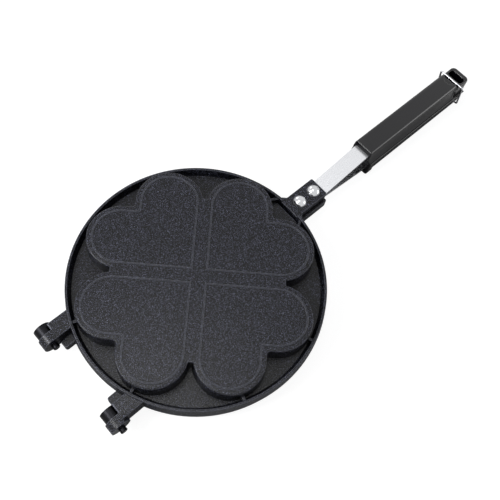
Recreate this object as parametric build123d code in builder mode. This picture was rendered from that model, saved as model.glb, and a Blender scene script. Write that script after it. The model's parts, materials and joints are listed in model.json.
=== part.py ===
from build123d import *
import os
from math import atan2, cos, degrees, hypot, radians, sin, sqrt, tan

# Stovetop waffle iron: two cast pan halves that bake four hearts, hinged on one side, each with
# a riveted steel strip and a moulded half grip on the other side, and a wire bail at the grip end.
# Sizes along X are counted from the pan's centre towards the grips, sizes along Z from the parting
# plane where the two halves meet, and all lengths are in millimetres. The finished pieces are put
# on the surface that the closed iron stands on, with the middle of its whole length at x = 0.

# Pan halves
pan_radius = 115.0          # rim's top edge
rim_flare = 1.4             # how much further the rim reaches at the parting plane
rim_height = 10.7
rim_land = 2.0              # width of the rim's flat top
rim_inner_draft = 2.5
web_thickness = 3.2         # floor of the moat between rim and hearts
parting_gap = 0.3           # daylight between the closed halves

# Hearts: each is two round lobes joined to a square tip, on the axes at 0, 90, 180 and 270 degrees.
heart_height = 20.2
heart_strip = 6.0           # from a diagonal of the pan to a heart's straight side
lobe_radius = 0.227 * pan_radius
moat_gap = 1.2              # least gap between the hearts' walls and the rim
wall = 4.4                  # from a heart's face line to the edge of its back
heart_draft = 3.0
valley_width = 5.6          # between two neighbouring hearts, where they part
valley_past = 5.6           # how far the valley's filling runs past the end of the straight sides
bead_width = 1.5
bead_height = 0.6
notch_round = 2.5
top_round = 1.2             # edge between a heart's back and its wall

# Mould side of a heart
floor_thickness = 4.0
mould_draft = 4.0
divider_depth = 6.0         # the walls between the hearts stop this far from the parting plane
divider_short = 16.1        # the dividers are cut low up to here before the straight sides end
peg_pitch = 13.0
peg_size = 6.0
peg_height = 8.0
peg_margin = 3.0            # least distance from a peg to the wall of its heart

# Ribs between the hearts' walls and the rim
rib_width = 2.2
rib_top = 9.4
rib_inner = pan_radius - 12.0
rib_outer = pan_radius - 2.5
rib_angle = 20.5
front_rib_start = (pan_radius - 11.0, 19.8)
front_rib_end = (pan_radius - 1.8, 14.4)
pad_reach = pan_radius - 5.5    # straight pad in the notch beside the lug
pad_width = 27.0
pad_top = 5.6

# Handle lugs: channels with their open side towards the parting plane
lug_end = pan_radius + 37.3
lug_root = pan_radius - 1.5
upper_lug_width = 21.0
upper_lug_top = 8.8
lower_lug_width = 26.0
lower_lug_top = 10.7
lug_flare = 3.5             # how much wider the lug is where it meets the rim
lug_corner = 1.5
lug_flange_bottom = 1.5
channel_start = pan_radius + 4.0

# Steel strip
bar_width = 17.0
bar_thickness = 2.5
bar_top = 3.6               # upper face inside the lug
bar_side_gap = 0.3
bar_bend = lug_end + 3.5    # where the strip starts to rise
bar_level = 208.3           # the strip runs level again from here
tang_top = 13.2             # upper face inside the grip
bar_end = 322.0
bend_radius = 12.0

# Rivets
rivet_places = (pan_radius + 11.1, pan_radius + 29.3)
rivet_shank = 6.0
rivet_head = 12.9
rivet_dome = 4.2
rivet_tail = 9.0
rivet_tail_height = 0.7

# Grips
upper_front = 210.3
lower_front = 215.0
upper_width = 25.0
lower_width = 27.0
grip_top = 20.0
grip_mating = 0.6           # from the parting plane to a grip's flat mating face
grip_round = 3.6
grip_skirt = 3.4            # height of the flared strip along the mating face
grip_skirt_lip = 0.9
upper_flare = 1.6
lower_flare = 0.3
grip_lean = 0.4             # how much each side leans in towards the top
end_round = 2.5
nose_length = 10.5          # the upper grip's top falls a little towards its front over this length
nose_drop = 0.8
nose_lean = 1.7             # how far the front face leans back above the strip
nose_edge = 0.9
chin_height = 9.0           # below this the front face runs back
chin_back = 4.2
tail_edge = 1.5
collar_length = 7.0         # the lower grip has a collar at its front end
collar_step = 0.9
upper_body_end = 345.0
upper_tail_end = 366.5
lower_body_end = 363.0
lower_tail_end = 369.5
tail_top = 14.5
tail_width = 22.4
lower_tail_width = 21.0
tail_round = 5.0
slot_start = 352.5
slot_length = 9.0
slot_width = 18.0
slot_round = 3.0
lower_slot_width = 14.0
notch_radius = 7.0          # thumb notch in the rear end of the upper grip's body
tang_gap = 0.1

# Grip screws, one in each mating face
screw_place = 300.0
screw_shank = 4.0
screw_head = 8.0
screw_slot = 1.0
screw_tip = 15.6            # distance of the screw's tip from the parting plane

# Hinges. The knuckles belong to the upper half, the barrels and pins to the lower half.
hinge_axis = -pan_radius - 12.6
hinge_offset = 45.8         # from the pan's centre line to the middle of each hinge
knuckle_radius = 9.2
knuckle_width = 9.2
knuckle_gap = 0.3
barrel_radius = 7.8
barrel_room = 2.4           # round each barrel, to the upper half's arm
pin_radius = 3.15
pin_clearance = 0.06
pin_stub = 4.4
pin_chamfer = 0.5
arm_inner = 35.4
arm_outer = 53.4
arm_top = 9.0
arm_root = 14.0 - pan_radius
arm_draft = 9.0
arm_clearance = 0.5
arm_cut_width = 10.7        # room across each arm for the other half's knuckle or barrel
shoulder_inner = 28.2
shoulder_end = -pan_radius - 7.3
shoulder_top = -1.2
shoulder_corner = 2.0

# Wire bail, pivoted in the sides of the lower grip
wire_radius = 0.95
bail_top_x = 349.0
bail_top_gap = 0.3          # under the wire's top run, to the upper grip's tail
bail_pivot_x = 358.0
bail_pivot = -16.5          # from the parting plane
bail_side_gap = 0.3
bail_seat = 2.6             # how deep each hooked end reaches into the grip
bail_round = 2.0
bail_clearance = 0.06

# Sizes worked out from those above
standing_height = heart_height + bead_height
half_gap = parting_gap / 2
diagonal = sqrt(2.0)
heart_spread = (heart_height - web_thickness) * tan(radians(heart_draft))
rim_recess = pan_radius - rim_land - rim_inner_draft
lobe_distance = rim_recess - moat_gap - lobe_radius - wall - heart_spread
lobe_step = diagonal * (heart_strip + lobe_radius)
lobe_reach = (lobe_step + sqrt(2 * lobe_distance ** 2 - lobe_step ** 2)) / 2
lobe_side = lobe_reach - lobe_step
straight_end = (lobe_reach + lobe_side) / diagonal
tang_middle = tang_top - bar_thickness / 2
middle_x = (lower_tail_end + hinge_axis - knuckle_radius) / 2
placed = Location((-middle_x, 0, standing_height))

os.makedirs("parts", exist_ok=True)


def heart_outline(strip, radius):
    """Outline of the heart on +X: square tip, straight sides along the diagonals, two lobes."""
    short = radius / diagonal
    tip = (diagonal * strip, 0)
    notch = (diagonal * (strip + 2 * radius), 0)
    near = lobe_reach - short
    far = lobe_reach + short
    with BuildLine() as outline:
        Line(tip, (near, -lobe_side - short))
        ThreePointArc((near, -lobe_side - short), (far, -lobe_side - short), (far, short - lobe_side))
        Line((far, short - lobe_side), notch)
        Line(notch, (far, lobe_side - short))
        ThreePointArc((far, lobe_side - short), (far, lobe_side + short), (near, lobe_side + short))
        Line((near, lobe_side + short), tip)
    return outline.line


def heart_sketch(strip, radius, rounding):
    """Sketch of the heart on +X, its notch rounded."""
    notch = diagonal * (strip + 2 * radius)
    with BuildSketch() as heart:
        add(heart_outline(strip, radius))
        make_face()
        fillet(heart.vertices().filter_by(lambda v: abs(v.X - notch) < 0.01), rounding)
    return heart.sketch


def flower(strip, radius, rounding):
    """Sketch of the four hearts."""
    with BuildSketch() as hearts:
        with PolarLocations(0, 4):
            add(heart_sketch(strip, radius, rounding))
    return hearts.sketch


def heart_block(strip, radius, bottom, top, slope):
    """Solid of the heart on +X, with walls that lean in towards its top."""
    with BuildPart() as block:
        with BuildSketch(Plane.XY.offset(bottom)):
            add(heart_sketch(strip, radius, notch_round))
        extrude(amount=top - bottom)
        walls = [face for face in block.faces() if abs(face.normal_at().Z) < 0.5]
        draft(walls, Plane.XY.offset(bottom), slope)
    return block.part


def heart_back():
    """The heart on +X as it stands on the web, its back rounded."""
    foot = wall + heart_spread
    with BuildPart() as back:
        add(heart_block(heart_strip - foot, lobe_radius + foot, web_thickness, heart_height, heart_draft))
        fillet(back.faces().sort_by(Axis.Z)[-1].edges(), top_round)
    return back.part


def peg_places():
    """Places of the pegs in the heart on +X, on a grid that runs along the heart's straight sides."""
    half = peg_size / 2
    centre = heart_strip + lobe_radius
    steps = [centre + (k - 1.5) * peg_pitch for k in range(8)]
    places = []
    for along in steps:
        for across in steps:
            for u, v in ((along, across), (across, along)):
                in_strip = u <= straight_end and abs(v - centre) + half + peg_margin <= lobe_radius
                in_cap = hypot(u - straight_end + half, abs(v - centre) + half) + peg_margin <= lobe_radius
                if in_strip or (u > straight_end and in_cap):
                    places.append((along, across))
                    break
    return [((u + v) / diagonal, (v - u) / diagonal) for u, v in places]


def rib_ends():
    """Both ends of each rib, in plan."""
    ends = []
    for heart in (90, 180, 270):
        for side in (-rib_angle, rib_angle):
            turn = radians(heart + side)
            inner = (rib_inner * cos(turn), rib_inner * sin(turn))
            outer = (rib_outer * cos(turn), rib_outer * sin(turn))
            ends.append((inner, outer))
    for side in (-1, 1):
        inner = (front_rib_start[0], side * front_rib_start[1])
        outer = (front_rib_end[0], side * front_rib_end[1])
        ends.append((inner, outer))
    return ends


def pan_half():
    """One cast half, its parting face down at half the parting gap and its back up."""
    rim_outer = pan_radius + rim_flare
    recess_top = pan_radius - rim_land
    arm_length = arm_root - hinge_axis
    face_line = heart_height - floor_thickness
    with BuildPart() as half:
        # disc and hinge arms
        with BuildSketch(Plane.XZ):
            with BuildLine():
                Polyline((0, half_gap), (rim_outer, half_gap), (pan_radius, rim_height), (0, rim_height),
                         close=True)
            make_face()
        revolve(axis=Axis.Z)
        with BuildSketch(Plane.XY.offset(half_gap)):
            with Locations((hinge_axis + arm_length / 2, (arm_inner + arm_outer) / 2),
                           (hinge_axis + arm_length / 2, -(arm_inner + arm_outer) / 2)):
                Rectangle(arm_length + 2 * arm_top, arm_outer - arm_inner)
        extrude(amount=arm_top - half_gap, taper=arm_draft)
        # moat between the rim and the hearts
        with BuildSketch(Plane.XZ):
            with BuildLine():
                Polyline((0, web_thickness), (rim_recess, web_thickness), (recess_top, rim_height),
                         (recess_top, rim_height + 1), (0, rim_height + 1), close=True)
            make_face()
        revolve(axis=Axis.Z, mode=Mode.SUBTRACT)
        # hearts, with the strips between them filled
        with PolarLocations(0, 4):
            add(heart_back())
        with BuildSketch(Plane.XY.offset(web_thickness)):
            Rectangle(2 * (straight_end + valley_past), valley_width, rotation=45)
            Rectangle(2 * (straight_end + valley_past), valley_width, rotation=-45)
        extrude(amount=heart_height - web_thickness)
        # ribs and the pad beside the lug
        for inner, outer in rib_ends():
            middle = ((inner[0] + outer[0]) / 2, (inner[1] + outer[1]) / 2)
            length = hypot(outer[0] - inner[0], outer[1] - inner[1])
            turn = degrees(atan2(outer[1] - inner[1], outer[0] - inner[0]))
            with BuildSketch(Plane.XY.offset(web_thickness)):
                with Locations(middle):
                    Rectangle(length, rib_width, rotation=turn)
            extrude(amount=rib_top - web_thickness)
        with BuildSketch(Plane.XY.offset(web_thickness)):
            with Locations(((lobe_reach + pad_reach) / 2, 0)):
                Rectangle(pad_reach - lobe_reach, pad_width)
        extrude(amount=pad_top - web_thickness)
        # mould side: four hearts joined across low dividers
        with PolarLocations(0, 4):
            add(heart_block(heart_strip, lobe_radius, half_gap, face_line, mould_draft), mode=Mode.SUBTRACT)
        with BuildSketch(Plane.XY.offset(half_gap)):
            Rectangle(2 * (straight_end - divider_short), 2 * heart_strip + 4, rotation=45)
            Rectangle(2 * (straight_end - divider_short), 2 * heart_strip + 4, rotation=-45)
        extrude(amount=divider_depth - half_gap, mode=Mode.SUBTRACT)
        with BuildSketch(Plane.XY.offset(face_line - peg_height)):
            with PolarLocations(0, 4):
                with Locations(*peg_places()):
                    Rectangle(peg_size, peg_size, rotation=45)
        extrude(amount=peg_height + 1)
        # bead along each heart's face line
        with BuildSketch(Plane.XY.offset(heart_height - bead_height)):
            add(flower(heart_strip, lobe_radius, notch_round))
            add(flower(heart_strip + bead_width, lobe_radius - bead_width, notch_round), mode=Mode.SUBTRACT)
        extrude(amount=2 * bead_height)
        # hinge arms end at the axis
        with BuildSketch(Plane.XY):
            with Locations((hinge_axis - arm_top + half_gap, 0)):
                Rectangle(2 * arm_top, 3 * arm_outer)
        extrude(amount=rim_height, mode=Mode.SUBTRACT)
    return half.part


def handle_lug(width, top):
    """Lug with a flat end, the channel of the strip in its underside, and two rivet holes."""
    flared = width / 2 + lug_flare
    flare_end = lug_root + 2 + lug_flare
    with BuildPart() as lug:
        with BuildSketch(Plane.XY.offset(lug_flange_bottom)) as plan:
            with BuildLine():
                Polyline((lug_root, -flared), (lug_root + 2, -flared), (flare_end, -width / 2),
                         (lug_end, -width / 2), (lug_end, width / 2), (flare_end, width / 2),
                         (lug_root + 2, flared), (lug_root, flared), close=True)
            make_face()
            fillet(plan.vertices().group_by(Axis.X)[-1], lug_corner)
        extrude(amount=top - lug_flange_bottom)
        with BuildSketch(Plane.XY):
            with Locations(((channel_start + lug_end + 1) / 2, 0)):
                Rectangle(lug_end + 1 - channel_start, bar_width + 2 * bar_side_gap)
        extrude(amount=bar_top, mode=Mode.SUBTRACT)
        with BuildSketch(Plane.XY):
            with Locations(*[(place, 0) for place in rivet_places]):
                Circle(rivet_shank / 2)
        extrude(amount=top + 1, mode=Mode.SUBTRACT)
    return lug.part


def hinge_plane(y):
    """Plane across the hinge pins at y, its local x along X and its local y along -Z."""
    return Plane(origin=(hinge_axis, y, 0), x_dir=(1, 0, 0), z_dir=(0, 1, 0))


def upper_casting():
    """Upper half: knuckles on the hinge pins, and room for the lower half's barrels."""
    with BuildPart() as casting:
        add(plain_half)
        # the rim drops to the lug's level
        with BuildSketch(Plane.XY.offset(upper_lug_top)):
            with Locations((pan_radius, 0)):
                Rectangle(4 * rim_land, upper_lug_width)
        extrude(amount=rim_height, mode=Mode.SUBTRACT)
        add(handle_lug(upper_lug_width, upper_lug_top))
        for middle in (-hinge_offset, hinge_offset):
            with BuildSketch(hinge_plane(middle - knuckle_gap / 2)):
                Circle(barrel_radius + barrel_room)
            extrude(amount=arm_cut_width, mode=Mode.SUBTRACT)
            with BuildSketch(hinge_plane(middle - knuckle_gap / 2)):
                Circle(knuckle_radius)
            extrude(amount=knuckle_gap / 2 - knuckle_width)
            with BuildSketch(hinge_plane(middle - knuckle_gap / 2)):
                Circle(pin_radius + pin_clearance)
            extrude(amount=-knuckle_width - pin_stub, mode=Mode.SUBTRACT)
    return casting.part


def lower_casting():
    """Lower half: barrels that hold the pins, a shoulder beside each arm, and room for the knuckles."""
    shoulder_length = arm_root - shoulder_end
    shoulder_width = arm_inner + 1 - shoulder_inner
    with BuildPart() as casting:
        add(plain_half.mirror(Plane.XY))
        add(handle_lug(lower_lug_width, lower_lug_top).mirror(Plane.XY))
        with BuildSketch(Plane.XY.offset(-arm_top)) as shoulders:
            with Locations((shoulder_end + shoulder_length / 2, shoulder_inner + shoulder_width / 2),
                           (shoulder_end + shoulder_length / 2, -shoulder_inner - shoulder_width / 2)):
                Rectangle(shoulder_length, shoulder_width)
            fillet(shoulders.vertices().group_by(Axis.X)[0].filter_by(lambda v: abs(v.Y) < arm_inner),
                   shoulder_corner)
        extrude(amount=arm_top + shoulder_top)
        for middle in (-hinge_offset, hinge_offset):
            with BuildSketch(hinge_plane(middle + knuckle_gap / 2)):
                Circle(knuckle_radius + arm_clearance)
            extrude(amount=-arm_cut_width, mode=Mode.SUBTRACT)
            with BuildSketch(hinge_plane(middle + knuckle_gap / 2)):
                Circle(barrel_radius)
            extrude(amount=knuckle_width - knuckle_gap / 2)
            with BuildSketch(hinge_plane(middle + knuckle_gap / 2)):
                Circle(pin_radius)
            extrude(amount=knuckle_width, mode=Mode.SUBTRACT)
    return casting.part


def pin_pair():
    """Hinge pins, one in each hinge, standing out on one side."""
    with BuildPart() as pins:
        for middle in (-hinge_offset, hinge_offset):
            with BuildSketch(hinge_plane(middle - knuckle_width - pin_stub)):
                Circle(pin_radius)
            extrude(amount=2 * knuckle_width + pin_stub)
        chamfer(pins.edges().filter_by(GeomType.CIRCLE), pin_chamfer)
    return pins.part


def handle_strip():
    """Steel strip from the lug to its level tang in the grip."""
    middle = bar_top - bar_thickness / 2
    with BuildPart() as strip:
        with BuildLine(Plane.XZ) as route:
            FilletPolyline((channel_start + bar_side_gap, middle), (bar_bend, middle),
                           (bar_level, tang_middle), (bar_end, tang_middle), radius=bend_radius)
        with BuildSketch(Plane(origin=route.line @ 0, x_dir=(0, 1, 0), z_dir=route.line % 0)):
            Rectangle(bar_width, bar_thickness)
        sweep(path=route.line)
        with BuildSketch(Plane.XY):
            with Locations(*[(place, 0) for place in rivet_places]):
                Circle(rivet_shank / 2)
            with Locations((screw_place, 0)):
                Circle(screw_shank / 2)
        extrude(amount=grip_top, mode=Mode.SUBTRACT)
    return strip.part


def rivets(lug_top):
    """Two rivets: a low dome on the lug, a shank, and a flat tail under the strip."""
    underside = bar_top - bar_thickness
    tail = underside - rivet_tail_height
    with BuildPart() as pair:
        with BuildSketch(Plane.XZ):
            with BuildLine():
                Line((0, tail), (rivet_tail / 2, tail))
                Line((rivet_tail / 2, tail), (rivet_tail / 2, underside))
                Line((rivet_tail / 2, underside), (rivet_shank / 2, underside))
                Line((rivet_shank / 2, underside), (rivet_shank / 2, lug_top))
                Line((rivet_shank / 2, lug_top), (rivet_head / 2, lug_top))
                TangentArc((0, lug_top + rivet_dome), (rivet_head / 2, lug_top), tangent=(1, 0))
                Line((0, lug_top + rivet_dome), (0, tail))
            make_face()
        revolve(axis=Axis.Z)
    return Compound([Pos(place, 0, 0) * pair.part.solid() for place in rivet_places])


def grip_section(width, flare, shrink):
    """Cross-section of a grip, Y across and Z up: flat mating face, flared skirt, rounded top."""
    half = width / 2
    side = half - flare - shrink
    top = grip_top - shrink
    with BuildSketch() as section:
        with BuildLine():
            Polyline((-half, grip_mating), (half, grip_mating), (half, grip_mating + grip_skirt_lip),
                     (side, grip_mating + grip_skirt), (side - grip_lean, top), (grip_lean - side, top),
                     (-side, grip_mating + grip_skirt), (-half, grip_mating + grip_skirt_lip), close=True)
        make_face()
        fillet(section.vertices().filter_by(lambda v: abs(v.Y - top) < 0.01), grip_round)
    return section.sketch


def half_grip(front, body_end, tail_end, width, rear_width, opening_width, flare, step):
    """Half grip over the strip's tang: body, lower tail with a slot, and a screw hole."""
    with BuildPart() as grip:
        with BuildSketch(Plane.YZ.offset(front)):
            add(grip_section(width, flare, step))
        extrude(amount=body_end - front)
        if step:
            with BuildSketch(Plane.YZ.offset(front)):
                add(grip_section(width, flare, 0))
            extrude(amount=collar_length)
        rear = grip.faces().sort_by(Axis.X)[-1]
        fillet(rear.edges().filter_by(lambda e: e.center().Z > grip_top - grip_round), end_round)
        with BuildSketch(Plane.XY.offset(grip_mating)) as tail:
            with Locations(((body_end + tail_end) / 2 - 2, 0)):
                Rectangle(tail_end - body_end + 4, rear_width)
            fillet(tail.vertices().group_by(Axis.X)[-1], tail_round)
        extrude(amount=tail_top - grip_mating)
        fillet(grip.faces().filter_by(Axis.Z).filter_by(lambda f: abs(f.center().Z - tail_top) < 0.01)
               .edges().filter_by(lambda e: e.center().X > body_end + 0.1), tail_edge)
        with BuildSketch(Plane.XY) as slot:
            with Locations((slot_start + slot_length / 2, 0)):
                Rectangle(slot_length, opening_width)
            fillet(slot.vertices(), slot_round)
        extrude(amount=grip_top + 1, mode=Mode.SUBTRACT)
        # pocket of the tang, and the screw's hole
        with BuildSketch(Plane.XY.offset(tang_middle - bar_thickness / 2 - tang_gap)):
            with Locations(((front - 1 + bar_end + tang_gap) / 2, 0)):
                Rectangle(bar_end + tang_gap - front + 1, bar_width + 2 * tang_gap)
        extrude(amount=bar_thickness + 2 * tang_gap, mode=Mode.SUBTRACT)
        with Locations(Plane(origin=(screw_place, 0, grip_mating), z_dir=(0, 0, -1))):
            CounterSinkHole(screw_shank / 2 + tang_gap, screw_head / 2 + tang_gap, screw_tip, 90)
    return grip.part


def upper_half_grip():
    """Upper grip, with a nose that leans forward over the strip and a thumb notch at the rear."""
    with BuildPart() as grip:
        add(half_grip(upper_front, upper_body_end, upper_tail_end, upper_width, tail_width, slot_width,
                      upper_flare, 0))
        with BuildSketch(Plane.XZ.offset(-upper_width)) as nose:
            with BuildLine():
                Polyline((upper_front - 1, tang_top), (upper_front, tang_top),
                         (upper_front + nose_lean, grip_top - nose_drop),
                         (upper_front + nose_length, grip_top), (upper_front + nose_length, grip_top + 1),
                         (upper_front - 1, grip_top + 1), close=True)
            make_face()
            edge = nose.vertices().filter_by(lambda v: abs(v.X - upper_front - nose_lean) < 0.01)
            fillet(edge, nose_edge)
        extrude(amount=2 * upper_width, mode=Mode.SUBTRACT)
        with BuildSketch(Plane.XZ.offset(-upper_width)):
            with BuildLine():
                Polyline((upper_front - 1, chin_height), (upper_front, chin_height),
                         (upper_front + chin_back, grip_mating), (upper_front + chin_back, 0),
                         (upper_front - 1, 0), close=True)
            make_face()
        extrude(amount=2 * upper_width, mode=Mode.SUBTRACT)
        with BuildSketch(Plane.XY.offset(tail_top)):
            with Locations((upper_body_end, 0)):
                Circle(notch_radius)
        extrude(amount=grip_top, mode=Mode.SUBTRACT)
    return grip.part


def lower_half_grip():
    """Lower grip, with a collar at the front and a cross hole for the bail."""
    with BuildPart() as grip:
        add(half_grip(lower_front, lower_body_end, lower_tail_end, lower_width, lower_tail_width,
                      lower_slot_width, lower_flare, collar_step).mirror(Plane.XY))
        across = Plane(origin=(bail_pivot_x, -lower_width, bail_pivot), x_dir=(1, 0, 0), z_dir=(0, 1, 0))
        with BuildSketch(across):
            Circle(wire_radius + bail_clearance)
        extrude(amount=2 * lower_width, mode=Mode.SUBTRACT)
    return grip.part


def grip_screw():
    """Countersunk screw with a slot, its head level with the mating face."""
    cone = (screw_head - screw_shank) / 2
    with BuildPart() as screw:
        with BuildSketch(Plane.XZ):
            with BuildLine():
                Polyline((0, grip_mating), (screw_head / 2, grip_mating),
                         (screw_shank / 2, grip_mating + cone), (screw_shank / 2, screw_tip),
                         (0, screw_tip), close=True)
            make_face()
        revolve(axis=Axis.Z)
        with BuildSketch(Plane.XY):
            Rectangle(screw_head, screw_slot)
        extrude(amount=grip_mating + screw_slot, mode=Mode.SUBTRACT)
    return Pos(screw_place, 0, 0) * screw.part


def bail():
    """Bent wire: hooked ends in the lower grip, and a top run that lies over the upper grip's tail."""
    run = bail_top_x - bail_pivot_x
    rise = tail_top + bail_top_gap + wire_radius - bail_pivot
    lean = atan2(run, rise)
    length = hypot(run, rise)
    along = (cos(lean), 0, -sin(lean))
    bail_plane = Plane(origin=(bail_pivot_x, 0, bail_pivot), x_dir=(0, 1, 0), z_dir=along)
    side = lower_width / 2 + bail_side_gap + wire_radius
    hook_end = lower_width / 2 - lower_flare - collar_step - grip_lean - bail_seat
    with BuildPart() as wire:
        with BuildLine(bail_plane) as route:
            FilletPolyline((-hook_end, 0), (-side, 0), (-side, length), (side, length), (side, 0),
                           (hook_end, 0), radius=bail_round)
        with BuildSketch(Plane(origin=route.line @ 0, z_dir=route.line % 0)):
            Circle(wire_radius)
        sweep(path=route.line)
    return wire.part


plain_half = pan_half()

# Upper half
with BuildPart() as upper_plate:
    add(placed * upper_casting())

upper_plate.part.label = "upper_plate"
export_step(upper_plate.part, "parts/upper_plate.step")

# Lower half
with BuildPart() as lower_plate:
    add(placed * lower_casting())

lower_plate.part.label = "lower_plate"
export_step(lower_plate.part, "parts/lower_plate.step")

# Hinge pins, pressed into the lower half's barrels
with BuildPart() as hinge_pins:
    add(placed * pin_pair())

hinge_pins.part.label = "hinge_pins"
export_step(hinge_pins.part, "parts/hinge_pins.step")

# Steel strips
with BuildPart() as upper_handle_bar:
    add(placed * handle_strip())

upper_handle_bar.part.label = "upper_handle_bar"
export_step(upper_handle_bar.part, "parts/upper_handle_bar.step")

with BuildPart() as lower_handle_bar:
    add(placed * handle_strip().mirror(Plane.XY))

lower_handle_bar.part.label = "lower_handle_bar"
export_step(lower_handle_bar.part, "parts/lower_handle_bar.step")

# Rivets
with BuildPart() as upper_rivets:
    add(placed * rivets(upper_lug_top))

upper_rivets.part.label = "upper_rivets"
export_step(upper_rivets.part, "parts/upper_rivets.step")

with BuildPart() as lower_rivets:
    add(placed * rivets(lower_lug_top).mirror(Plane.XY))

lower_rivets.part.label = "lower_rivets"
export_step(lower_rivets.part, "parts/lower_rivets.step")

# Grips
with BuildPart() as upper_grip:
    add(placed * upper_half_grip())

upper_grip.part.label = "upper_grip"
export_step(upper_grip.part, "parts/upper_grip.step")

with BuildPart() as lower_grip:
    add(placed * lower_half_grip())

lower_grip.part.label = "lower_grip"
export_step(lower_grip.part, "parts/lower_grip.step")

# Screws that hold the grips on the strips
with BuildPart() as upper_grip_screw:
    add(placed * grip_screw())

upper_grip_screw.part.label = "upper_grip_screw"
export_step(upper_grip_screw.part, "parts/upper_grip_screw.step")

with BuildPart() as lower_grip_screw:
    add(placed * grip_screw().mirror(Plane.XY))

lower_grip_screw.part.label = "lower_grip_screw"
export_step(lower_grip_screw.part, "parts/lower_grip_screw.step")

# Bail
with BuildPart() as latch_bail:
    add(placed * bail())

latch_bail.part.label = "latch_bail"
export_step(latch_bail.part, "parts/latch_bail.step")
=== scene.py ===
import json
from math import cos, radians, sin

import bpy
import numpy as np
from mathutils import Matrix, Vector

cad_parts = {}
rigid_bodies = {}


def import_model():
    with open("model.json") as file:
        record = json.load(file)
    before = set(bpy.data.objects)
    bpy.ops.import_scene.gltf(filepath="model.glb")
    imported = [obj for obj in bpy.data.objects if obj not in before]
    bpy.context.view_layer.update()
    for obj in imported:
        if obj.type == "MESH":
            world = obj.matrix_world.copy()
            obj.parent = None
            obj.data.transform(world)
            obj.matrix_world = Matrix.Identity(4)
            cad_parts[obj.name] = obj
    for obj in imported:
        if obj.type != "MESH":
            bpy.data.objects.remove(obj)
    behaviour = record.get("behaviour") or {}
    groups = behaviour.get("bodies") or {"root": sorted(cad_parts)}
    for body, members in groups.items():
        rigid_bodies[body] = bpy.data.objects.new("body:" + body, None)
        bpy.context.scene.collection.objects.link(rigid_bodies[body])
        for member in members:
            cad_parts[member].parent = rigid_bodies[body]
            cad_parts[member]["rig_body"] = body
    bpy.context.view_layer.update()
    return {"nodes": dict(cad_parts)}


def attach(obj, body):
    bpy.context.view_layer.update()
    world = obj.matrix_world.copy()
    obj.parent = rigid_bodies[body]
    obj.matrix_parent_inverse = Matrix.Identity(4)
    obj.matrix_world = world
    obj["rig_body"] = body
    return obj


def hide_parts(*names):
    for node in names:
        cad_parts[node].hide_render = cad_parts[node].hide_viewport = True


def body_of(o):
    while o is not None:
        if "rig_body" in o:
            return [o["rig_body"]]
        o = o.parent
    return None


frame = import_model()
nodes = frame["nodes"]
scene = bpy.context.scene


# Camera: it looks down on the iron from the hinge side, turned a little about its own line of sight,
# so that the handle points to the upper right.
camera_target = Vector((-0.05765, -0.0048, 0.0208))
camera_distance = 0.6086
camera_azimuth = radians(-143.12)
camera_elevation = radians(65.02)
camera_roll = radians(12.09)
camera_lens = 47.4

backward = Vector((cos(camera_azimuth) * cos(camera_elevation),
                   sin(camera_azimuth) * cos(camera_elevation),
                   sin(camera_elevation)))
level_right = Vector((0, 0, 1)).cross(backward).normalized()
level_up = backward.cross(level_right)
right = cos(camera_roll) * level_right + sin(camera_roll) * level_up
up = cos(camera_roll) * level_up - sin(camera_roll) * level_right
camera_data = bpy.data.cameras.new("camera")
camera_data.lens = camera_lens
camera_data.clip_start = 0.01
camera = bpy.data.objects.new("camera", camera_data)
scene.collection.objects.link(camera)
turn = Matrix((right, up, backward)).transposed().to_4x4()
camera.matrix_world = Matrix.Translation(camera_target + camera_distance * backward) @ turn
scene.camera = camera


# Room: an even white surround, a white floor that keeps the iron's soft shadow, and four area lamps.
# The low lamp on the handle's side draws the bright line along the rounded edge of the grip.
scene.view_settings.view_transform = "Standard"


def linear(code):
    """Linear colour with alpha from an sRGB hex code."""
    parts = [int(code[k:k + 2], 16) / 255 for k in (1, 3, 5)]
    return tuple(p / 12.92 if p <= 0.04045 else ((p + 0.055) / 1.055) ** 2.4 for p in parts) + (1.0,)


def add_node(tree, kind, stops=(), **values):
    """New node with its own settings and its inputs set by name.

    _6 stands for input number 6, for nodes whose inputs share a name. A pair (node, output) is linked,
    and anything else is a value. stops are the marks of a colour ramp, each as (position, hex code).
    """
    node = tree.nodes.new(kind)
    for mark, (position, code) in zip(node.color_ramp.elements if stops else (), stops):
        mark.position = position
        mark.color = linear(code)
    for name, value in values.items():
        if hasattr(node, name):
            setattr(node, name, value)
            continue
        socket = node.inputs[int(name[1:])] if name[0] == "_" else node.inputs[name.replace("_", " ")]
        if isinstance(value, tuple) and isinstance(value[0], bpy.types.Node):
            tree.links.new(value[0].outputs[value[1]], socket)
        else:
            socket.default_value = value
    return node


def sight(tree):
    """1 for rays from the camera and for those that a shiny or a clear surface sends on, else 0."""
    ray = add_node(tree, "ShaderNodeLightPath")
    sent_on = add_node(tree, "ShaderNodeMath", operation="MAXIMUM", _0=(ray, "Is Glossy Ray"),
                       _1=(ray, "Is Transmission Ray"))
    seen_at_all = add_node(tree, "ShaderNodeMath", operation="MAXIMUM", _0=(ray, "Is Camera Ray"),
                           _1=(sent_on, 0))
    return seen_at_all, 0


def bare_tree(owner):
    """Empty node tree of a new world or material."""
    owner.use_nodes = True
    owner.node_tree.nodes.clear()
    return owner.node_tree


# The camera and reflections see white, and a much weaker light from all round falls on the iron.
scene.world = bpy.data.worlds.new("surround")
tree = bare_tree(scene.world)
seen = add_node(tree, "ShaderNodeBackground", Color=linear("#FFFFFF"), Strength=1.0)
lit = add_node(tree, "ShaderNodeBackground", Color=linear("#F0F3FA"), Strength=0.12)
choice = add_node(tree, "ShaderNodeMixShader", _0=sight(tree), _1=(lit, 0), _2=(seen, 0))
add_node(tree, "ShaderNodeOutputWorld", Surface=(choice, 0))

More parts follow.
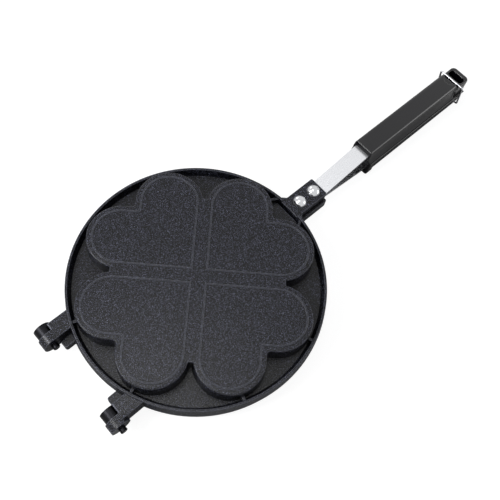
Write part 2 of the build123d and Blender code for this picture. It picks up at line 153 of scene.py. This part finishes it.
# Round area lamps: name, place, aim, width in metres, power in watts.
for name, place, aim, width, power in (
        ("lamp_key", (-0.85, 0.35, 0.85), (-0.1, 0, 0), 0.5, 8),
        ("lamp_top", (-0.2, 0.12, 1.2), (-0.15, 0, 0), 0.45, 2),
        ("lamp_back", (0.25, 1.15, 0.55), (-0.05, 0, 0), 0.5, 2),
        ("lamp_low", (1.05, -1.0, 0.3), (0.18, 0, 0.02), 0.9, 5)):
    lamp_data = bpy.data.lights.new(name, "AREA")
    lamp_data.shape = "DISK"
    lamp_data.size = width
    lamp_data.energy = power
    lamp = bpy.data.objects.new(name, lamp_data)
    scene.collection.objects.link(lamp)
    lamp.location = place
    lamp.rotation_euler = (Vector(aim) - Vector(place)).to_track_quat("-Z", "Y").to_euler()

# Floor: matt paper, grey enough to keep the iron's shadow, which glows almost white by itself where the
# camera or a reflection sees it. In reflections the glow fades close to the iron, as it would where the
# iron keeps the room's light off the paper.
floor_reach = 12.0
floor_drop = 0.0005     # below the iron, so that the two faces don't touch
floor_glow = 0.92
reflected_glow = 0.5    # share of the glow that is left in reflections
shade_reach = 0.2       # how far from the iron the glow fades
shade_power = 6.0
corners = ((-1, -1), (1, -1), (1, 1), (-1, 1))
floor_mesh = bpy.data.meshes.new("floor")
floor_mesh.from_pydata([(x * floor_reach, y * floor_reach, 0) for x, y in corners], [], [(0, 1, 2, 3)])
floor = bpy.data.objects.new("floor", floor_mesh)
floor.location.z = -floor_drop
scene.collection.objects.link(floor)
paper = bpy.data.materials.new("paper")
tree = bare_tree(paper)
matt = add_node(tree, "ShaderNodeBsdfDiffuse", Color=linear("#8E8E8E"))
open_sky = add_node(tree, "ShaderNodeAmbientOcclusion", samples=4, Distance=shade_reach)
dark = add_node(tree, "ShaderNodeMath", operation="POWER", _0=(open_sky, "AO"), _1=shade_power)
shade = add_node(tree, "ShaderNodeMath", operation="MULTIPLY", _0=(dark, 0), _1=reflected_glow)
ray = add_node(tree, "ShaderNodeLightPath")
level = add_node(tree, "ShaderNodeMapRange", Value=(ray, "Is Camera Ray"), To_Min=(shade, 0))
strength = add_node(tree, "ShaderNodeMath", operation="MULTIPLY", _0=(level, 0), _1=floor_glow)
glow = add_node(tree, "ShaderNodeEmission", Color=linear("#FFFFFF"), Strength=(strength, 0))
glowing = add_node(tree, "ShaderNodeAddShader", _0=(matt, 0), _1=(glow, 0))
choice = add_node(tree, "ShaderNodeMixShader", _0=sight(tree), _1=(matt, 0), _2=(glowing, 0))
add_node(tree, "ShaderNodeOutputMaterial", Surface=(choice, 0))
floor_mesh.materials.append(paper)


# Cast halves: cast aluminium under a dark non-stick coating, sprayed on with fine lighter specks. The
# lower half carries the hinge's two barrels, and the upper half the knuckles that turn beside them.
def cover(node_name, material, split_angle=32):
    """Gives a CAD node one material, and shades its curved faces smoothly up to the split angle."""
    piece = nodes[node_name]
    piece.data.materials.clear()
    piece.data.materials.append(material)
    piece.data.polygons.foreach_set("use_smooth", np.ones(len(piece.data.polygons), bool))
    weld = piece.modifiers.new("weld", "WELD")
    weld.merge_threshold = 2e-6
    split = piece.modifiers.new("sharp_edges", "EDGE_SPLIT")
    split.split_angle = radians(split_angle)
    split.use_edge_sharp = False


def object_noise(tree, feature, detail, roughness=0.5, stretch=(1, 1, 1)):
    """Noise on the object's own coordinates with features of a size in millimetres.

    stretch multiplies the number of features along each axis. The pattern is turned about all axes, so
    that no flat face lies along its grid, where it would be weaker.
    """
    place = add_node(tree, "ShaderNodeTexCoord")
    moved = add_node(tree, "ShaderNodeMapping", Vector=(place, "Object"), Scale=stretch,
                     Rotation=(0.5, 0.3, 0.2))
    return add_node(tree, "ShaderNodeTexNoise", Vector=(moved, 0), Scale=1000 / feature, Detail=detail,
                    Roughness=roughness)


def outer_edges(tree, width):
    """1 along edges that stand out and 0 on flat areas, from how near the next face is inside."""
    near = add_node(tree, "ShaderNodeAmbientOcclusion", samples=6, inside=True, Distance=width)
    return add_node(tree, "ShaderNodeMapRange", Value=(near, "AO"), From_Min=0.95, From_Max=0.55)


def coated_casting():
    """Speckled non-stick coating on a cast surface.

    The eye sees a satin near-black with a faint mottle and blue-grey specks, and a pebbled skin.
    Its edges are paler, partly from rubbed wear and partly as a painted highlight, and its recesses
    carry painted shade, darker the more closed in they are. Real specks are about 0.2 mm and pebbles
    about 0.6 mm, and both are drawn twice as coarse, because they wouldn't show otherwise.
    """
    speck, blotch, pebble, patch = 0.4, 0.67, 1.2, 70
    worn_and_highlit_edge, cast_edge = 0.0008, 0.0009
    recess = 0.02
    material = bpy.data.materials.new("coated_casting")
    tree = bare_tree(material)
    tone = add_node(tree, "ShaderNodeValToRGB", ((0.3, "#030304"), (0.7, "#060608")),
                    Fac=(object_noise(tree, patch, detail=3), 0))
    mottle = add_node(tree, "ShaderNodeValToRGB", ((0.45, "#000000"), (0.7, "#07080F")),
                      Fac=(object_noise(tree, blotch, detail=2, roughness=0.7), 0))
    specks = add_node(tree, "ShaderNodeValToRGB", ((0.63, "#000000"), (0.74, "#B9BEE0")),
                      Fac=(object_noise(tree, speck, detail=1), 0))
    mottled = add_node(tree, "ShaderNodeMix", data_type="RGBA", blend_type="ADD", _0=1.0, _6=(tone, 0),
                       _7=(mottle, 0))
    speckled = add_node(tree, "ShaderNodeMix", data_type="RGBA", blend_type="ADD", _0=1.0, _6=(mottled, 2),
                        _7=(specks, 0))
    # Painted shade: the colour is darkened where nearby faces close a spot in, where shade falls in
    # recesses.
    openness = add_node(tree, "ShaderNodeAmbientOcclusion", samples=6, Distance=recess)
    painted_recess_shade = add_node(tree, "ShaderNodeMapRange", Value=(openness, "AO"), From_Min=0.4, From_Max=0.95,
                      To_Min=0.3)
    recess_shaded = add_node(tree, "ShaderNodeMix", data_type="RGBA", blend_type="MULTIPLY", _0=1.0,
                        _6=(speckled, 2), _7=(painted_recess_shade, 0))
    # Painted highlight and wear: edges that stand out are mixed towards a pale grey, partly as rubbed wear
    # and partly as a painted highlight.
    worn_and_highlit = add_node(tree, "ShaderNodeMix", data_type="RGBA", _0=(outer_edges(tree, worn_and_highlit_edge), 0),
                      _6=(recess_shaded, 2), _7=linear("#62646F"))
    grain = object_noise(tree, pebble, detail=2, roughness=0.6)
    shine = add_node(tree, "ShaderNodeMapRange", Value=(grain, 0), From_Min=0.3, From_Max=0.7,
                     To_Min=0.22, To_Max=0.34)
    soft = add_node(tree, "ShaderNodeBevel", samples=6, Radius=cast_edge)
    skin = add_node(tree, "ShaderNodeBump", Strength=0.7, Distance=0.0003, Height=(grain, 0),
                    Normal=(soft, 0))
    surface = add_node(tree, "ShaderNodeBsdfPrincipled", Base_Color=(worn_and_highlit, 2), Roughness=(shine, 0),
                       Normal=(skin, 0), IOR=1.35)
    add_node(tree, "ShaderNodeOutputMaterial", Surface=(surface, 0))
    return material


def metal(name, dark, light, dull, bright, feature, stretch, depth):
    """Bare metal whose tone and shine vary with one noise, which is stretched as the metal was worked.

    dark and light are its hex codes, dull and bright its roughness, feature the noise's size in
    millimetres, and depth the strength of its marks.
    """
    material = bpy.data.materials.new(name)
    tree = bare_tree(material)
    lines = object_noise(tree, feature, detail=3, roughness=0.6, stretch=stretch)
    tint = add_node(tree, "ShaderNodeMix", data_type="RGBA", _0=(lines, 0), _6=linear(dark),
                    _7=linear(light))
    shine = add_node(tree, "ShaderNodeMapRange", Value=(lines, 0), From_Min=0.3, From_Max=0.7,
                     To_Min=bright, To_Max=dull)
    marks = add_node(tree, "ShaderNodeBump", Strength=depth, Distance=0.0001, Height=(lines, 0))
    surface = add_node(tree, "ShaderNodeBsdfPrincipled", Base_Color=(tint, 2), Metallic=1.0,
                       Roughness=(shine, 0), Normal=(marks, 0))
    add_node(tree, "ShaderNodeOutputMaterial", Surface=(surface, 0))
    return material


coating = coated_casting()
cover("lower_plate", coating)
cover("upper_plate", coating)

# The barrels are machined smooth and blackened, which gives a dark satin with faint rings. They are the
# faces of the lower half that lie near the hinge's axis.
hinge_x, hinge_z = -0.24395, 0.0208
left_barrel_y, right_barrel_y = 0.0505, -0.0411
barrel_reach, half_reach = 0.008, 0.0048    # a little more than the barrels' radius and half-width
turned_rings = (1, 8, 1)
plate_mesh = nodes["lower_plate"].data
centres = np.empty(len(plate_mesh.polygons) * 3, np.float32)
plate_mesh.polygons.foreach_get("center", centres)
x, y, z = centres.reshape(-1, 3).T
from_middle = np.abs(y - np.where(y > 0, left_barrel_y, right_barrel_y))
in_barrel = (np.hypot(x - hinge_x, z - hinge_z) < barrel_reach) & (from_middle < half_reach)
barrel_metal = metal("blackened_barrel", "#111113", "#29292C", dull=0.4, bright=0.28, feature=1.4,
                     stretch=turned_rings, depth=0.1)
plate_mesh.materials.append(barrel_metal)
plate_mesh.polygons.foreach_set("material_index", in_barrel.astype(np.int32))


# Hinge pins: two turned steel pins, blackened and pressed into the barrels. They are the darkest metal
# on the iron, a dull satin with faint rings round each pin.
blackened_pin = metal("blackened_pin", "#0E0E10", "#242427", dull=0.35, bright=0.22, feature=1.1,
                      stretch=turned_rings, depth=0.2)
cover("hinge_pins", blackened_pin)


# Steel strips: stainless flat bar, bent cold and riveted into the lugs. Brushing along its length gives
# a pale satin with fine lines. Real lines are under 0.1 mm wide, and these are 0.64 mm so that they
# show.
brushed_along = (0.005, 1, 1)
brushed = metal("brushed_strip", "#D6D7DA", "#E2E3E6", dull=0.3, bright=0.24, feature=0.64,
                stretch=brushed_along, depth=0.12)
cover("lower_handle_bar", brushed)
cover("upper_handle_bar", brushed)


# Rivets: bright steel, headed cold, so the domes are smooth, mirror-like and only faintly marked. Each
# shank goes through lug and strip and is spread into a flat tail in the channel.
def closed_rings(rings, first, last):
    """Points and faces of a closed surface: rings joined to each other, with a pole at each end.

    rings has the shape (ring, column, 3), and its columns run counter-clockwise about the way from
    first to last. Column k joins column k + 1, and the last one joins the first.
    """
    count, columns = rings.shape[:2]
    points = np.concatenate((rings.reshape(-1, 3), [first], [last]))
    index = np.arange(count * columns).reshape(count, columns)
    beside = np.roll(index, -1, axis=1)
    sides = np.stack((index[:-1], beside[:-1], beside[1:], index[1:]), axis=-1).reshape(-1, 4)
    start = np.stack((beside[0], index[0], np.full(columns, count * columns)), axis=-1)
    end = np.stack((index[-1], beside[-1], np.full(columns, count * columns + 1)), axis=-1)
    return points, sides.tolist() + start.tolist() + end.tolist()


def new_piece(name, surfaces, material, node_name, split_angle=32):
    """One object from closed surfaces given in millimetres, in place of a CAD node and on its body."""
    points, faces = [], []
    for some_points, some_faces in surfaces:
        offset = sum(len(p) for p in points)
        faces += [[k + offset for k in face] for face in some_faces]
        points.append(some_points)
    mesh = bpy.data.meshes.new(name)
    mesh.from_pydata((np.concatenate(points) * 0.001).tolist(), [], faces)
    mesh.polygons.foreach_set("use_smooth", np.ones(len(mesh.polygons), bool))
    mesh.set_sharp_from_angle(angle=radians(split_angle))
    mesh.materials.append(material)
    piece = bpy.data.objects.new(name, mesh)
    scene.collection.objects.link(piece)
    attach(piece, body_of(nodes[node_name])[0])
    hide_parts(node_name)


def rivet(x, lug, tail, columns=48, dome_rings=14):
    """Rivet on the upright line at x: tail disc, shank, and a head whose dome is part of a sphere.

    Dome: r = R sin t, z = lug + s (h - R (1 - cos t)), with R = (a^2 + h^2) / 2h for a head of
    radius a and height h, and s = 1 for a head on top, -1 for one below. Every point is
    (x + r cos u, r sin u, z).
    """
    side = 1 if lug > tail else -1
    a, h, lip = 6.45, 4.2, 0.1
    shank, tail_flat, tail_radius = 3.0, 4.2, 4.5
    chamfer, tail_height = 0.2, 0.7
    ball = (a * a + h * h) / (2 * h)
    t = np.linspace(np.arcsin(a / ball), 0, dome_rings + 1)[:-1]
    below_dome = ((tail_flat, tail), (tail_radius, tail + side * chamfer),
                  (tail_radius, tail + side * tail_height), (shank, tail + side * tail_height),
                  (shank, lug), (a - lip, lug), (a, lug + side * lip))
    dome = np.stack((ball * np.sin(t), lug + side * (h - ball * (1 - np.cos(t)))), axis=-1)
    r, z = np.concatenate((below_dome, dome)).T
    ends = [(x, 0, tail), (x, 0, lug + side * h)]
    u = np.arange(columns) * 2 * np.pi / columns
    rings = np.stack((x + np.outer(r, np.cos(u)), np.outer(r, np.sin(u)),
                      np.repeat(z[:, None], columns, 1)), axis=-1)
    return closed_rings(rings[::side], *ends[::side])


no_grain = (1, 1, 1)    # marks that run no particular way
polished = metal("polished_rivet", "#C4C5C8", "#D4D5D8", dull=0.14, bright=0.09, feature=3.3,
                 stretch=no_grain, depth=0.03)
rivet_places = (9.75, 27.95)
for piece_name, node_name, lug, tail in (("lower_rivet_pair", "lower_rivets", 10.1, 20.4),
                                         ("upper_rivet_pair", "upper_rivets", 29.6, 21.2)):
    new_piece(piece_name, [rivet(x, lug, tail) for x in rivet_places], polished, node_name)


# Grips: two half grips of black phenolic, compression moulded. Each is pushed on its strip's tang and
# held there by one screw.
def moulded_grip():
    """Black moulded phenolic.

    The eye sees a deep gloss that catches the light in one thin line along rounded edges, a skin with
    faint ripples of about 0.7 mm, and edges painted slightly grey, partly as wear and partly as a painted
    highlight.
    """
    ripple, patch = 0.7, 33
    worn_and_highlit_grip_edge, rounding = 0.0006, 0.002
    material = bpy.data.materials.new("moulded_grip")
    tree = bare_tree(material)
    tone = add_node(tree, "ShaderNodeValToRGB", ((0.3, "#050509"), (0.7, "#08080F")),
                    Fac=(object_noise(tree, patch, detail=3), 0))
    # Painted highlight and wear: edges that stand out are mixed towards a dark grey.
    handled_and_highlit = add_node(tree, "ShaderNodeMix", data_type="RGBA", _0=(outer_edges(tree, worn_and_highlit_grip_edge), 0),
                       _6=(tone, 0), _7=linear("#1E1E22"))
    skin = object_noise(tree, ripple, detail=2)
    shine = add_node(tree, "ShaderNodeMapRange", Value=(skin, 0), From_Min=0.3, From_Max=0.7,
                     To_Min=0.12, To_Max=0.19)
    soft = add_node(tree, "ShaderNodeBevel", samples=8, Radius=rounding)
    peel = add_node(tree, "ShaderNodeBump", Strength=0.12, Distance=0.0001, Height=(skin, 0),
                    Normal=(soft, 0))
    surface = add_node(tree, "ShaderNodeBsdfPrincipled", Base_Color=(handled_and_highlit, 2), Roughness=(shine, 0),
                       Normal=(peel, 0))
    add_node(tree, "ShaderNodeOutputMaterial", Surface=(surface, 0))
    return material


phenolic = moulded_grip()
cover("lower_grip", phenolic)
cover("upper_grip", phenolic)


# Grip screws: countersunk plain steel screws in the grips' mating faces, one through each tang. The
# steel is a mid-grey to pale satin, the same in all directions.
screw_steel = metal("screw_steel", "#9A9B9E", "#F4F4F2", dull=0.4, bright=0.28, feature=1.4,
                    stretch=no_grain, depth=0.2)
cover("lower_grip_screw", screw_steel)
cover("upper_grip_screw", screw_steel)


# Bail: drawn spring wire, bent to a flat-topped hoop and bright enough to show a light line along it.
# Its hooked ends turn in the lower grip, and its top run lies over the tail of the upper one.
def bail_wire(columns=20, bend_steps=9):
    """Tube of radius w along a flat route with square corners rounded to a radius b.

    A corner at c between the directions d and e gives c - b d + b sin(t) d + b (1 - cos(t)) e for t
    from 0 to 90 degrees. Round the route each point is route + w (cos(u) n + sin(u) m), with n across
    the way in the hoop's plane and m square to that plane.
    """
    w, b = 0.95, 2.0
    pivot = np.array((241.65, 0, 4.3))
    top_run = np.array((-9.0, 0, 32.25))    # from the pivot
    half_width, hook_end = 14.75, 9.3
    height = np.linalg.norm(top_run)
    across = np.array((0, 1.0, 0))
    upward = top_run / height
    m = np.cross(across, upward)
    corners = np.array(((-hook_end, 0), (-half_width, 0), (-half_width, height), (half_width, height),
                        (half_width, 0), (hook_end, 0)))
    legs = np.diff(corners, axis=0)
    ways = legs / np.linalg.norm(legs, axis=1)[:, None]
    t = np.linspace(0, np.pi / 2, bend_steps)[None, :, None]
    d, e, c = ways[:-1, None], ways[1:, None], corners[1:-1, None]
    bends = (c - b * d + b * np.sin(t) * d + b * (1 - np.cos(t)) * e).reshape(-1, 2)
    turns = (np.cos(t) * d + np.sin(t) * e).reshape(-1, 2)
    route = np.concatenate((corners[:1], bends, corners[-1:]))
    way = np.concatenate((ways[:1], turns, ways[-1:]))
    flat = np.stack((across, upward))
    centre = pivot + route @ flat
    n = np.stack((-way[:, 1], way[:, 0]), axis=-1) @ flat
    u = np.arange(columns) * 2 * np.pi / columns
    rings = centre[:, None] + w * (np.cos(u)[None, :, None] * n[:, None] + np.sin(u)[None, :, None] * m)
    return closed_rings(rings, centre[0], centre[-1])


wire = metal("drawn_wire", "#B8B9BD", "#C6C7CB", dull=0.26, bright=0.2, feature=3.3,
             stretch=no_grain, depth=0.03)
new_piece("bail_wire", [bail_wire()], wire, "latch_bail", 50)
